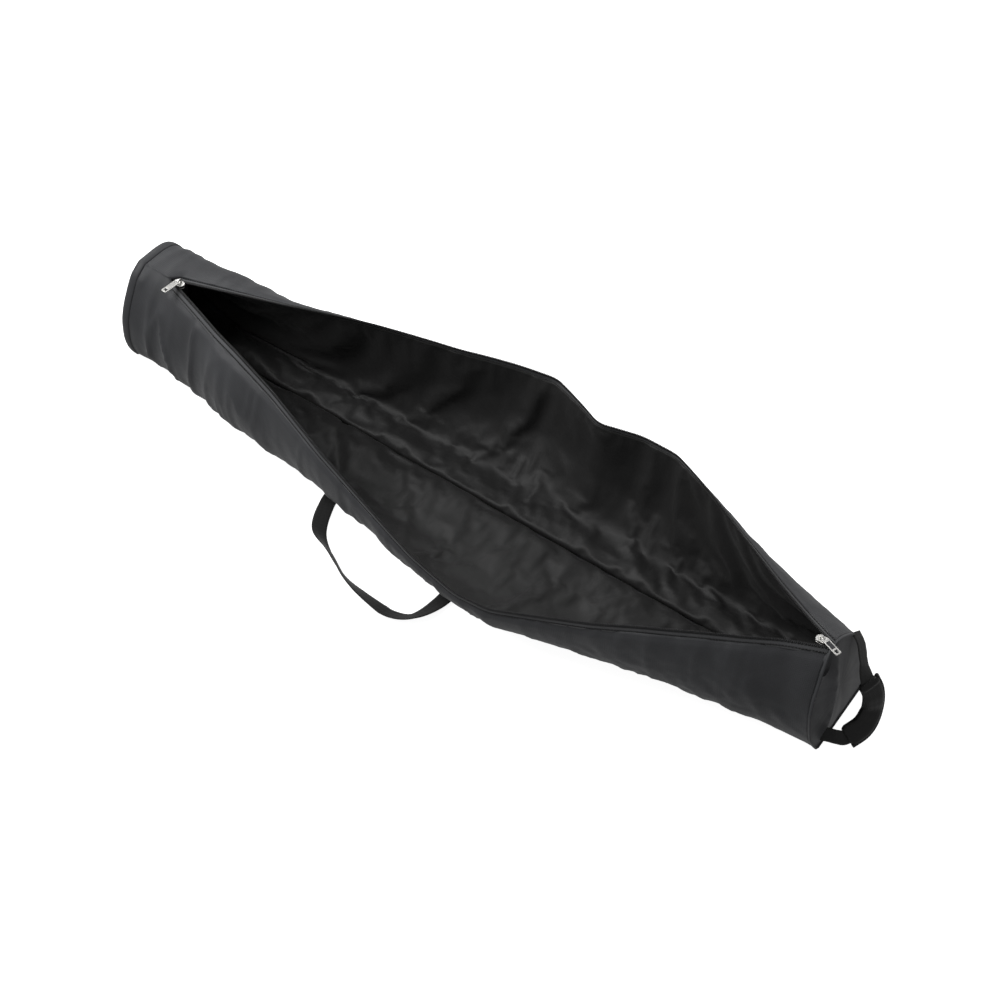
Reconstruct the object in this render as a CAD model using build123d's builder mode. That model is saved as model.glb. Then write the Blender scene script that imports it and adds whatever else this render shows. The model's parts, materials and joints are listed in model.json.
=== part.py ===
"""Padded gig bag: a long soft tube with a lengthwise zip, lying on its base with the mouth open.

Frame: X runs along the bag from the head end (-X) to the foot end (+X), Y goes across it from the
front wall (-Y) to the back wall (+Y), and Z is up from the floor. The origin is the middle of the base.
"""
import math
import os

from build123d import *

# ---------------------------------------------------------------- driving dimensions, mm and degrees
LENGTH = 1300.0
PAD = 9.0                    # outer fabric and foam, sewn as one padded layer
LINING = 1.2
GAP = 0.3                    # play between neighbouring pieces
SKIN_GAP = 0.25              # play between a skin and the layer that it lies on
FRONT_HINGE = (-82.0, 8.0)   # the bottom front corner (y, z) that the front wall folds about
BACK_HINGE = (72.0, 8.0)
ZIP_Y = -22.0                # the zip's line when closed
HEAD_HEIGHT = 170.0          # the height of that line at the head end and at the foot end
FOOT_HEIGHT = 181.0
MOUTH_HEAD = -579.0          # where the mouth starts and ends
MOUTH_FOOT = 629.0
STATIONS = [MOUTH_HEAD, -400.0, -180.0, 30.0, 170.0, 400.0, MOUTH_FOOT]
STRIP_NAMES = ["head", "upper", "shoulder", "middle", "lower", "foot"]
# y of the bottom front corner at each station, as it draws in towards the two ends
FRONT_CORNER = [-60, -82, -82, -82, -82, -82, -66]
# how far each wall has fallen open from the closed line, in degrees at each station
FRONT_OPEN = [0, 22, 45, 67, 71, 42, 0]
BACK_OPEN = [0, 15, 36, 57, 45, 28, 0]
# how far each wall bows out from its chord at each station: most at the ends, which stay round
FRONT_BULGE = [34, 40, 36, 36, 36, 36, 36]
BACK_BULGE = [50, 36, 30, 30, 30, 32, 38]

TAPE = 12.0                  # zip tape that stands beyond the padded wall
TAPE_THICK = 1.2
COIL_WIDE = 3.0
COIL_THICK = 3.0
ZIP_FROM_END = 22.0          # the open zip halves start this far in from the mouth's ends
ZIP_EDGE = -0.01             # the zip edge of a wall, as a length counted back from that edge

SEAM_Y = 13.0                # the seam along the bottom, where the lining's two halves meet
RIM = 14.0                   # bound band round the head end
END_PANEL = 6.0
END_INSET = 2.0              # the head end panel sits this far inside its rim
BINDING = 2.0                # depth of the bound seam round the foot end panel
FOOT_LAP = 10.0              # the foot end's outlines start this far back inside the mouth's end
FOOT_REACH = 40.0            # and run this far past the foot, before they are cut askew

X_HEAD = -LENGTH / 2
# the foot end stands askew: its front bottom corner reaches furthest
FOOT_PLANE = Plane(origin=(LENGTH / 2, 0, 0), z_dir=(1.0, 0.08, 0.06))


# ---------------------------------------------------------------- shapes shared by the pieces
def zip_height(x):
    return HEAD_HEIGHT + (FOOT_HEIGHT - HEAD_HEIGHT) * (x - X_HEAD) / LENGTH


def between(x, values):
    """The value at x, in straight runs between the values at the stations."""
    for x0, x1, v0, v1 in zip(STATIONS, STATIONS[1:], values, values[1:]):
        if x0 <= x <= x1:
            return v0 + (v1 - v0) * (x - x0) / (x1 - x0)
    return values[0] if x < STATIONS[0] else values[-1]


def corner(x, side):
    """The bottom corner (y, z) of a wall at x."""
    if side > 0:
        return BACK_HINGE
    return between(x, FRONT_CORNER), FRONT_HINGE[1]


def across(x):
    """The plane across the bag at x, with Y to the right and Z up."""
    return Plane(origin=(x, 0, 0), x_dir=(0, 1, 0), z_dir=(1, 0, 0))


def wall_arc(x, side):
    """Centre, radius, start angle and sweep of the arc that a wall's middle layer follows at x."""
    hy, hz = corner(x, side)
    bulge = between(x, FRONT_BULGE if side < 0 else BACK_BULGE)
    dy, dz = ZIP_Y - hy, zip_height(x) - hz
    chord = math.hypot(dy, dz)
    turn = math.radians(-side * between(x, FRONT_OPEN if side < 0 else BACK_OPEN))
    ey = dy * math.cos(turn) - dz * math.sin(turn)
    ez = dy * math.sin(turn) + dz * math.cos(turn)
    radius = (chord ** 2 / 4 + bulge ** 2) / (2 * bulge)
    inward = radius - bulge
    cy = hy + ey / 2 - side * ez / chord * inward
    cz = hz + ez / 2 + side * ey / chord * inward
    start = math.atan2(hz - cz, hy - cy)
    sweep = side * 2 * math.asin(chord / 2 / radius)
    return cy, cz, radius, start, sweep


def layer(x, side, inner, outer, first, last):
    """A face of a wall's section at x: from inner to outer of its middle line, between two lengths
    measured along the line, where a negative length counts back from the zip edge."""
    cy, cz, radius, start, sweep = wall_arc(x, side)
    total = abs(sweep) * radius
    ends = [length if length >= 0 else total + length for length in (first, last)]
    middle = sum(ends) / 2

    def at(length, off):
        angle = start + sweep * length / total
        return (cy + (radius + off) * math.cos(angle), cz + (radius + off) * math.sin(angle))

    with BuildSketch(across(x)) as face:
        with BuildLine():
            ThreePointArc(at(ends[0], outer), at(middle, outer), at(ends[1], outer))
            Line(at(ends[1], outer), at(ends[1], inner))
            ThreePointArc(at(ends[1], inner), at(middle, inner), at(ends[0], inner))
            Line(at(ends[0], inner), at(ends[0], outer))
        make_face()
    return face.sketch


def bowed(start, end, bulge):
    """The middle of a wall that bows out to the left of the way from start to end."""
    dy, dz = end[0] - start[0], end[1] - start[1]
    share = bulge / math.hypot(dy, dz)
    return ((start[0] + end[0]) / 2 - dz * share, (start[1] + end[1]) / 2 + dy * share)


def outline(x, grow):
    """The closed bag's section at x, grown from the middle of its padding."""
    top = (ZIP_Y, zip_height(x))
    front = (corner(x, -1)[0], PAD / 2)
    back = (corner(x, 1)[0], PAD / 2)
    with BuildSketch(across(x)) as face:
        with BuildLine():
            Line(back, front)
            ThreePointArc(front, bowed(front, top, between(x, FRONT_BULGE)), top)
            ThreePointArc(top, bowed(top, back, between(x, BACK_BULGE)), back)
        make_face()
        offset(amount=grow)
    return face.sketch


def save(part, name):
    part.label = name
    export_step(part, f"parts/{name}.step")


# ---------------------------------------------------------------- the two walls
def wall_strip(x0, x1, side, inner, outer, first, last):
    with BuildPart() as strip:
        loft([layer(x0, side, inner, outer, first, last),
              layer(x1, side, inner, outer, first, last)], ruled=True)
    return strip.part


def make_zip_half(x0, x1, side):
    """The tape along a wall's zip edge, with the coil on its last few millimetres."""
    x0 = max(x0, MOUTH_HEAD + ZIP_FROM_END)
    x1 = min(x1, MOUTH_FOOT - ZIP_FROM_END)
    with BuildPart() as zip_half:
        add(wall_strip(x0, x1, side, -TAPE_THICK / 2, TAPE_THICK / 2, -TAPE + GAP, -COIL_WIDE / 2))
        add(wall_strip(x0, x1, side, -COIL_THICK / 2, COIL_THICK / 2, -COIL_WIDE, ZIP_EDGE))
    return zip_half.part


def make_wall(side, wall):
    """A wall in strips that fold one beside the other, each with its lining and its zip half."""
    lining_top = -PAD / 2 - SKIN_GAP
    for name, station, following in zip(STRIP_NAMES, STATIONS, STATIONS[1:]):
        x0 = station + GAP / 2
        x1 = following - GAP / 2
        padding = wall_strip(x0, x1, side, -PAD / 2, PAD / 2, 0, -TAPE)
        lining = wall_strip(x0, x1, side, lining_top - LINING, lining_top, 0, -TAPE)
        save(padding, f"{wall}_wall_{name}")
        save(lining, f"{wall}_lining_{name}")
        save(make_zip_half(x0, x1, side), f"{wall}_zip_{name}")


# ---------------------------------------------------------------- base and ends
def base_sheet(low, high, level, thick):
    """A flat sheet of the base at a height, from low(x) to high(x) across the bag."""
    ends = [MOUTH_HEAD + GAP, STATIONS[1], STATIONS[-2], MOUTH_FOOT - GAP]
    with BuildPart() as sheet:
        with BuildSketch(Plane.XY.offset(level)):
            with BuildLine():
                Polyline([(x, low(x)) for x in ends] + [(x, high(x)) for x in reversed(ends)],
                         close=True)
            make_face()
        extrude(amount=thick)
    return sheet.part


def make_base():
    inset = PAD / 2 + LINING + 2 * GAP
    on_top = PAD + SKIN_GAP

    def front(x):
        return corner(x, -1)[0] + inset

    def back(x):
        return corner(x, 1)[0] - inset

    def short_of_seam(x):
        return SEAM_Y - GAP / 2

    def past_seam(x):
        return SEAM_Y + GAP / 2

    save(base_sheet(front, back, 0, PAD), "base_panel")
    save(base_sheet(front, short_of_seam, on_top, LINING), "base_lining_front")
    save(base_sheet(past_seam, back, on_top, LINING), "base_lining_back")


def tube(x0, x1, inner, outer):
    with BuildPart() as shell:
        loft([outline(x0, outer), outline(x1, outer)], ruled=True)
        loft([outline(x0, inner), outline(x1, inner)], ruled=True, mode=Mode.SUBTRACT)
    return shell.part


def make_head_end():
    rim_end = X_HEAD + RIM
    panel_start = X_HEAD + END_INSET
    inside = -PAD / 2 - GAP
    save(tube(rim_end + GAP, MOUTH_HEAD - GAP, -PAD / 2, PAD / 2), "head_tube")
    save(tube(X_HEAD, rim_end, -PAD / 2, PAD / 2), "head_rim_band")
    with BuildPart() as panel:
        loft([outline(panel_start, inside), outline(panel_start + END_PANEL, inside)], ruled=True)
    save(panel.part, "head_end_panel")


def make_foot_end():
    """The short tube past the mouth, and the end panel with its bound seam, all cut askew."""
    start = MOUTH_FOOT - FOOT_LAP
    beyond = LENGTH / 2 + FOOT_REACH
    panel_edge = PAD / 2 - BINDING
    with BuildPart() as shell:
        add(tube(MOUTH_FOOT + GAP, beyond, -PAD / 2, PAD / 2))
        split(bisect_by=FOOT_PLANE.offset(-END_PANEL - GAP), keep=Keep.BOTTOM)
    save(shell.part, "foot_tube")
    with BuildPart() as panel:
        loft([outline(start, panel_edge), outline(beyond, panel_edge)], ruled=True)
        split(bisect_by=FOOT_PLANE, keep=Keep.BOTTOM)
        split(bisect_by=FOOT_PLANE.offset(-END_PANEL), keep=Keep.TOP)
    save(panel.part, "foot_end_panel")
    with BuildPart() as band:
        add(tube(start, beyond, panel_edge + GAP / 2, PAD / 2))
        split(bisect_by=FOOT_PLANE, keep=Keep.BOTTOM)
        split(bisect_by=FOOT_PLANE.offset(-END_PANEL), keep=Keep.TOP)
    save(band.part, "foot_seam_binding")


# ---------------------------------------------------------------- sliders and pull tabs
SLIDER_LONG = 18.0
SLIDER_WIDE = 10.0
SLIDER_ROUND = 4.0
SLIDER_HALF_GAP = 1.7        # from the zip's line to the slider's plates
PLATE = 1.3
POST = 3.0                   # diameter of the post between the plates
CHEEK_TALL = 7.0             # the bridge's two cheeks, which hold the bar
CHEEK_LONG = 3.4
CHEEK_THICK = 1.6
CHEEK_DROP = 2.2             # a cheek's middle below the bar
SLIDER_FROM_END = 10.0       # from the mouth's ends to the sliders at rest
BAR_ABOVE_PLATE = 5.0
PIVOT_UP = SLIDER_HALF_GAP + PLATE + BAR_ABOVE_PLATE     # the bar above the zip's line
BAR = 2.0
BORE = 2.16
KNUCKLE = 4.2
KNUCKLE_WALL = 1.1
TAB_LONG = 36.0
TAB_WIDE = 9.0
TAB_THICK = 1.6
TAB_NECK = [(1.6, 2.0), (9.0, 3.2), (14.0, TAB_WIDE / 2)]    # half its outline, as it widens
WINDOW_LONG = 8.0
WINDOW_FRAME = 1.8
WINDOW_BACK = 7.0            # the window's middle from the tab's end
WINDOW_ROUND = 1.0

SLIDERS = {
    # where each rests, which way its pull tab lies and how far it dips, less than none if raised
    "head": {"x": MOUTH_HEAD + SLIDER_FROM_END, "lies": (0, -1), "dip": -8},
    "foot": {"x": MOUTH_FOOT - SLIDER_FROM_END, "lies": (0.958, -0.287), "dip": 5},
}


def make_slider(name, x, bar_along):
    """The slider's two plates and post, and the bridge bar that the pull tab's knuckle turns on."""
    level = zip_height(x)
    pivot = Vector(x, ZIP_Y, level + PIVOT_UP)
    cheek = KNUCKLE / 2 + GAP
    with BuildPart() as body:
        for bottom in (SLIDER_HALF_GAP, -SLIDER_HALF_GAP - PLATE):
            with BuildSketch(Plane(origin=(x, ZIP_Y, level + bottom))):
                RectangleRounded(SLIDER_LONG, SLIDER_WIDE, SLIDER_ROUND)
            extrude(amount=PLATE)
        with BuildSketch(Plane(origin=(x, ZIP_Y, level - SLIDER_HALF_GAP - PLATE / 2))):
            Circle(POST / 2)
        extrude(amount=2 * SLIDER_HALF_GAP + PLATE)
        for way in (-1, 1):
            outward = bar_along * way
            with BuildSketch(Plane(origin=pivot + outward * cheek, x_dir=(0, 0, 1), z_dir=outward)):
                with Locations((-CHEEK_DROP, 0)):
                    Rectangle(CHEEK_TALL, CHEEK_LONG)
            extrude(amount=CHEEK_THICK)
        bar_half = cheek + CHEEK_THICK / 2
        with BuildSketch(Plane(origin=pivot - bar_along * bar_half, z_dir=bar_along)):
            Circle(BAR / 2)
        extrude(amount=2 * bar_half)
    save(body.part, f"{name}_slider")


def make_pull_tab(name, x, bar_along, reach):
    """A flat tab with a window, and the bored knuckle that it turns on."""
    pivot = Vector(x, ZIP_Y, zip_height(x) + PIVOT_UP)
    flat = Plane(origin=pivot, x_dir=reach, z_dir=reach.cross(bar_along))
    knuckle_side = Plane(origin=pivot - bar_along * KNUCKLE / 2, z_dir=bar_along)
    half = TAB_NECK + [(TAB_LONG, TAB_WIDE / 2)]
    with BuildPart() as tab:
        with BuildSketch(flat.offset(-TAB_THICK / 2)):
            with BuildLine():
                Polyline(half + [(along, -wide) for along, wide in reversed(half)], close=True)
            make_face()
            with Locations((TAB_LONG - WINDOW_BACK, 0)):
                RectangleRounded(WINDOW_LONG, TAB_WIDE - 2 * WINDOW_FRAME, WINDOW_ROUND,
                                 mode=Mode.SUBTRACT)
        extrude(amount=TAB_THICK)
        with BuildSketch(knuckle_side):
            Circle(BAR / 2 + KNUCKLE_WALL)
        extrude(amount=KNUCKLE)
        with BuildSketch(knuckle_side):
            Circle(BORE / 2)
        extrude(amount=KNUCKLE, mode=Mode.SUBTRACT)
    save(tab.part, f"{name}_pull_tab")


def make_sliders():
    for name, place in SLIDERS.items():
        lies = place["lies"]
        down = math.radians(place["dip"])
        bar_along = Vector(-lies[1], lies[0], 0).normalized()
        reach = Vector(lies[0] * math.cos(down), lies[1] * math.cos(down), -math.sin(down))
        make_slider(name, place["x"], bar_along)
        make_pull_tab(name, place["x"], bar_along, reach)


# ---------------------------------------------------------------- webbing straps and the grip
WEB_WIDE = 25.0
WEB_THICK = 1.6
STRAP_BEND_Y = -120.0        # where the side strap bends as it lifts
STRAP_ROUTE = [(-200, STRAP_BEND_Y - GAP), (-170, -180), (-118, -212), (-76, -232), (-20, -240),
               (20, -240), (50, -222), (58, -180), (58, STRAP_BEND_Y - GAP)]
STRAP_ROUND = 24.0
STRAP_TAILS = {"head": -203.0, "foot": 58.0}
TAIL_UNDER = 6.0             # how far the tails reach in under the front corner
GRIP_WIDE = 34.0
GRIP_THICK = 17.0
GRIP_CLEAR = 10.0            # from the grip's ends to the webbing that shows
# the handle's line from its top root, round through the grip, to its bottom root
HANDLE_LINE = [(650, 42, 140), (663, 34, 124), (683, 13, 106), (693, 15, 78), (697, 12, 48),
               (696, -6, 28), (688, -32, 20), (673, -42, 19), (661, -46, 19)]
# which way its broad side runs at each of those points
HANDLE_BROAD = [(0.1, 1, 0), (0.5, 1, 0), (0.5, 1, 0), (0.5, 1, 0), (0.6, 0.9, 0),
                (0.7, 0.5, -0.2), (0.75, 0, -0.45), (0.5, -0.2, -0.7), (0, -0.5, -0.9)]
GRIP = slice(2, 7)           # the points that the grip covers


def ribbon(points, broad, wide, thick):
    """A strap through points, with its broad direction given at each."""
    faces = []
    for i, point in enumerate(points):
        before = points[max(i - 1, 0)]
        after = points[min(i + 1, len(points) - 1)]
        along = (Vector(*after) - Vector(*before)).normalized()
        side = Vector(*broad[i])
        side = (side - along * side.dot(along)).normalized()
        with BuildSketch(Plane(origin=point, x_dir=side, z_dir=along)) as face:
            Rectangle(wide, thick)
        faces.append(face.sketch)
    with BuildPart() as strap:
        loft(faces, ruled=True)
    return strap.part


def make_carry_strap():
    """A webbing loop sewn under the front corner by its two tails, that lies out on the floor."""
    with BuildPart() as strap:
        with BuildSketch():
            with BuildLine():
                FilletPolyline(*STRAP_ROUTE, radius=STRAP_ROUND)
            trace(line_width=WEB_WIDE)
            with Locations((0, STRAP_BEND_Y - GAP + WEB_WIDE / 2)):
                Rectangle(LENGTH, WEB_WIDE, mode=Mode.SUBTRACT)
        extrude(amount=WEB_THICK)
    save(strap.part, "carry_strap_loop")
    tail_end = FRONT_HINGE[0] + TAIL_UNDER
    for name, x in STRAP_TAILS.items():
        with BuildPart() as tail:
            with BuildSketch():
                with Locations((x, (STRAP_BEND_Y + tail_end) / 2)):
                    Rectangle(WEB_WIDE, tail_end - STRAP_BEND_Y)
            extrude(amount=WEB_THICK)
        save(tail.part, f"carry_strap_tail_{name}")


def short_of(point, neighbour, clear):
    """The point moved towards its neighbour by clear."""
    way = (Vector(*neighbour) - Vector(*point)).normalized()
    return tuple(Vector(*point) + way * clear)


def make_foot_handle():
    """The padded grip, and the webbing that shows above and below it."""
    grip = HANDLE_LINE[GRIP]
    upper = HANDLE_LINE[:2] + [short_of(grip[0], HANDLE_LINE[1], GRIP_CLEAR)]
    lower = [short_of(grip[-1], HANDLE_LINE[-2], GRIP_CLEAR)] + HANDLE_LINE[-2:]
    save(ribbon(grip, HANDLE_BROAD[GRIP], GRIP_WIDE, GRIP_THICK), "foot_grip_wrap")
    save(ribbon(upper, HANDLE_BROAD[:3], WEB_WIDE, WEB_THICK), "foot_handle_web_upper")
    save(ribbon(lower, HANDLE_BROAD[-3:], WEB_WIDE, WEB_THICK), "foot_handle_web_lower")


os.makedirs("parts", exist_ok=True)
make_wall(-1, "front")
make_wall(1, "back")
make_base()
make_head_end()
make_foot_end()
make_sliders()
make_carry_strap()
make_foot_handle()
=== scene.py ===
"""The looks of the padded gig bag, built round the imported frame, in metres and degrees."""
import json
import math

import bmesh
import bpy
import numpy as np
from mathutils import Matrix, Vector, noise


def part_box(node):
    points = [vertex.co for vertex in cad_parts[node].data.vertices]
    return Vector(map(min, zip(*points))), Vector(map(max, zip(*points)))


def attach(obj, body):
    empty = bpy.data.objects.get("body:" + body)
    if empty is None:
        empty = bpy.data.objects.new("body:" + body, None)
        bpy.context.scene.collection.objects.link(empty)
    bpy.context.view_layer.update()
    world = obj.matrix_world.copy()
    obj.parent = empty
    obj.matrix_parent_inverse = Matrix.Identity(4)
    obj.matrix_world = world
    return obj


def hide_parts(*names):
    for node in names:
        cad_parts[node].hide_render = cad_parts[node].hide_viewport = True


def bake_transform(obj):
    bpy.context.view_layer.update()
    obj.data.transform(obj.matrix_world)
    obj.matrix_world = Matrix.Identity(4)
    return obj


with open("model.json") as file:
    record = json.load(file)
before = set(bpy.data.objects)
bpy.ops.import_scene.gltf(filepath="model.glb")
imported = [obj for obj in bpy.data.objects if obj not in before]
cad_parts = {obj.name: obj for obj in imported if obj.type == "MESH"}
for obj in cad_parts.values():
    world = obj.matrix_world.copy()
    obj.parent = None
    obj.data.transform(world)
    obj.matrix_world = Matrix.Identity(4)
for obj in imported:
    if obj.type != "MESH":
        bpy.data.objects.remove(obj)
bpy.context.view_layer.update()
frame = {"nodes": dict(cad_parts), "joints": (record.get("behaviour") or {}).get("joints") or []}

JOINTS = {joint["name"]: joint for joint in frame["joints"]}

# ---------------------------------------------------------------- driving sizes
PAD = 0.009                  # outer fabric and foam
LINING = 0.0012
TAPE = 0.012                 # zip tape beyond the padding
TAPE_THICK = 0.0012
HALF_LINE = 0.0008           # from the zip's line to each row of teeth, when closed
TOOTH_PITCH = 0.0025
STITCH_PITCH = 0.0042        # from one stitch to the next
WEB_WIDE = 0.025
TAB_LONG = 0.036
TAB_DIP = {"head": -8, "foot": 5}     # degrees below level, and less than none if raised
WEB_THICK = 0.0016
HANDLE_WEB_WIDE = 0.022
TEXTILE_LOW = 0.0006         # the lowest that the bag's own cloth comes to the floor
BASE_TOP = 0.0085            # top of the base's padding
LINING_LIES = 0.0108         # height of the lining where it lies on the base, and the least it drops to
LINING_LEAST = 0.0104
X_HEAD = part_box("head_rim_band")[0].x
RIM_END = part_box("head_rim_band")[1].x
MOUTH_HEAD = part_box("front_wall_head")[0].x
MOUTH_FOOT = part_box("front_wall_foot")[1].x
FOOT_X = 0.650               # where the foot end's askew plane crosses the origin's line
FOOT_LEAN = (0.08, 0.06)     # how far it leans forward for each metre of y and of z
BAG_LONG = 1.3
ZIP_Y = -0.022
ZIP_HEAD_Z = 0.170
ZIP_FOOT_Z = 0.181
SEAM_Y = 0.013               # the groove along the bottom, where the two linings meet
STEP = 0.005                 # the grid that the fabric is built on
ACROSS = 46                  # its points from the corner up to the zip
ROWS_PAST = 0.004            # how far the rows run under the head's rim, and past the mouth's foot end
CLOTH_STEP = 0.009           # the grid that the lining's creases are simulated on
CLOTH_ACROSS = 38
CLOTH_GAP = 0.004            # from the lining to the padding that it falls on
CLOTH_SLACK = 0.013          # how much larger the lining is cut than the padding it covers
CLOTH_BEND = 6.0             # the lining's stiffness against bending
CLOTH_FRAMES = 26

# Along the bag as (x, value), in straight runs that are then eased: the y of each wall's corner on the
# floor, the degrees that it stands open, and how far its section bows out.
FRONT_CORNER = [(MOUTH_HEAD, -0.058), (-0.4, -0.082), (0.4, -0.082), (MOUTH_FOOT, -0.066)]
BACK_CORNER = [(MOUTH_HEAD, 0.072), (MOUTH_FOOT, 0.072)]
FRONT_OPEN = [(MOUTH_HEAD, 0), (-0.45, 16), (-0.3, 31), (-0.18, 45), (-0.05, 58), (0.03, 66),
              (0.12, 71.5), (0.18, 70), (0.23, 64), (0.335, 51), (0.44, 35), (0.53, 20), (MOUTH_FOOT, 0)]
BACK_OPEN = [(MOUTH_HEAD, 0), (-0.5, 6.5), (-0.4, 15), (-0.26, 29), (-0.12, 41), (-0.036, 52),
             (0.02, 58), (0.06, 52), (0.134, 41), (0.2, 48), (0.26, 48), (0.325, 39), (0.42, 25),
             (0.52, 12), (MOUTH_FOOT, 0)]
FRONT_BULGE = [(MOUTH_HEAD, 0.033), (-0.4, 0.040), (-0.18, 0.036), (MOUTH_FOOT, 0.036)]
BACK_BULGE = [(MOUTH_HEAD, 0.050), (-0.4, 0.036), (-0.18, 0.030), (0.17, 0.030), (MOUTH_FOOT, 0.038)]
EASE = 0.012                 # to either side of each x


def eased(x, knots):
    """The knots' straight runs at x, averaged over a short way to either side."""
    xs, values = zip(*knots)
    return sum(np.interp(np.asarray(x) + EASE * k / 4, xs, values) for k in range(-4, 5)) / 9


def zip_height(x):
    return ZIP_HEAD_Z + (ZIP_FOOT_Z - ZIP_HEAD_Z) * (np.asarray(x) - X_HEAD) / BAG_LONG


def foot_plane_x(y, z):
    return FOOT_X - FOOT_LEAN[0] * y - FOOT_LEAN[1] * z


def smooth(low, high, value):
    t = np.clip((np.asarray(value, float) - low) / (high - low), 0, 1)
    return t * t * (3 - 2 * t)


def hump(offset, width):
    """A round-topped rise, 1 at its middle and fading over the width to either side."""
    return np.exp(-(offset / width) ** 2)


# ---------------------------------------------------------------- the walls' shape
class Wall:
    """One side wall, which stands open by an angle that changes along the bag."""

    def __init__(self, name, side, opening, bulge, corner):
        joint = JOINTS[f"{name}_middle_fold"]
        self.name, self.side = name, side
        self.opening, self.bulge, self.corner = opening, bulge, corner
        self.body = joint["child"]
        self.hinge_z = joint["pos_m"][2]
        self.range = joint["range_deg"][1]

    def weight(self, x):
        """The share of its body's turn that closes the wall at x."""
        return eased(x, self.opening) / self.range

    def arc(self, x):
        hy, hz = eased(x, self.corner), self.hinge_z
        bulge = eased(x, self.bulge)
        dy, dz = ZIP_Y - hy, zip_height(x) - hz
        chord = np.hypot(dy, dz)
        turn = np.radians(-self.side * eased(x, self.opening))
        ey = dy * np.cos(turn) - dz * np.sin(turn)
        ez = dy * np.sin(turn) + dz * np.cos(turn)
        radius = (chord ** 2 / 4 + bulge ** 2) / (2 * bulge)
        cy = hy + ey / 2 - self.side * ez / chord * (radius - bulge)
        cz = hz + ez / 2 + self.side * ey / chord * (radius - bulge)
        start = np.arctan2(hz - cz, hy - cy)
        sweep = self.side * 2 * np.arcsin(chord / 2 / radius)
        return cy, cz, radius, start, sweep

    def points(self, x, share, off):
        """Points at each x and each share of the way up from the corner to the zip's line."""
        x = np.asarray(x, float)[:, None]
        cy, cz, radius, start, sweep = self.arc(x)
        angle = start + sweep * share
        reach = radius + off
        y = cy + reach * np.cos(angle)
        z = cz + reach * np.sin(angle)
        return np.stack([np.broadcast_to(x, y.shape), y, np.maximum(z, TEXTILE_LOW)], axis=-1)

    def from_edge(self, x, distance):
        """The share of the way up that lies a distance short of the zip's line."""
        _, _, radius, _, sweep = self.arc(np.asarray(x, float)[:, None])
        return 1 - distance / (np.abs(sweep) * radius)


FRONT = Wall("front", -1, FRONT_OPEN, FRONT_BULGE, FRONT_CORNER)
BACK = Wall("back", 1, BACK_OPEN, BACK_BULGE, BACK_CORNER)


FOLD_SLANT = 0.35            # how far the folds lean toward the foot as they climb
FOLD_ROUGHNESS = 0.9
FOLD_RATIO = 2.1             # each octave's folds are smaller than the last by this
WALL_CLIMB = 0.18            # about the length of a wall's section, which its folds are measured by


def fold_noise(x, along, across, lengthways, seed, octaves=3):
    """Soft folds: noise that is stretched along the folds, with smaller folds on the larger."""
    out = np.zeros(np.broadcast(x, along).shape)
    xs, ss = np.broadcast_arrays(x, along)
    for index in np.ndindex(out.shape):
        u, v = xs[index], ss[index]
        slanted = u / across + FOLD_SLANT * v / lengthways
        place = Vector((slanted, v / lengthways, seed))
        out[index] = noise.fractal(place, FOLD_ROUGHNESS, FOLD_RATIO, octaves)
    return out


def creases(x, along, across, lengthways, seed):
    """Sharp-topped wrinkles, where the noise passes through nought."""
    folds = np.clip(fold_noise(x, along, across, lengthways, seed, octaves=2), -1, 1)
    return (1 - np.abs(folds)) ** 5


def outer_relief(wall, x, share):
    """How far the outer fabric stands off its smooth shape."""
    along = share * WALL_CLIMB
    x = x[:, None]
    head = smooth(-0.25, -0.55, x)
    foot = smooth(0.10, 0.50, x)
    seed = 3.0 if wall.side < 0 else 11.0
    broad_high = 0.003 + 0.002 * head + 0.002 * foot
    broad = broad_high * fold_noise(x, along, across=0.10, lengthways=0.15, seed=seed, octaves=2)
    folds_high = 0.0014 + 0.0022 * head
    folds = folds_high * (creases(x, along, across=0.045, lengthways=0.24, seed=seed + 5) * 2 - 1)
    crumples_high = 0.0006 + 0.0034 * foot
    crumples = crumples_high * fold_noise(x, along, across=0.040, lengthways=0.050, seed=seed + 9)
    square = 0.0
    if wall.side > 0:
        square = 0.013 * hump(share - 0.72, 0.17) * smooth(-0.36, -0.56, x)
    held = np.sin(math.pi * np.clip(share, 0.02, 0.98)) ** 0.4
    calm = 1.0 if wall.side < 0 else 0.4
    return (broad + folds + crumples) * held * calm + square


# ---------------------------------------------------------------- mesh helpers
def new_piece(name, vertices, faces, uvs, material):
    mesh = bpy.data.meshes.new(name)
    mesh.from_pydata([tuple(map(float, v)) for v in vertices], [], faces)
    layer = mesh.uv_layers.new(name="UVMap")
    flat = np.array([uvs[loop.vertex_index] for loop in mesh.loops], np.float32)
    layer.data.foreach_set("uv", flat.ravel())
    mesh.shade_smooth()
    piece = bpy.data.objects.new(name, mesh)
    bpy.context.scene.collection.objects.link(piece)
    mesh.materials.append(material)
    return piece


def outward(piece):
    work = bmesh.new()
    work.from_mesh(piece.data)
    bmesh.ops.recalc_face_normals(work, faces=work.faces)
    work.to_mesh(piece.data)
    work.free()
    return piece


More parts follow.
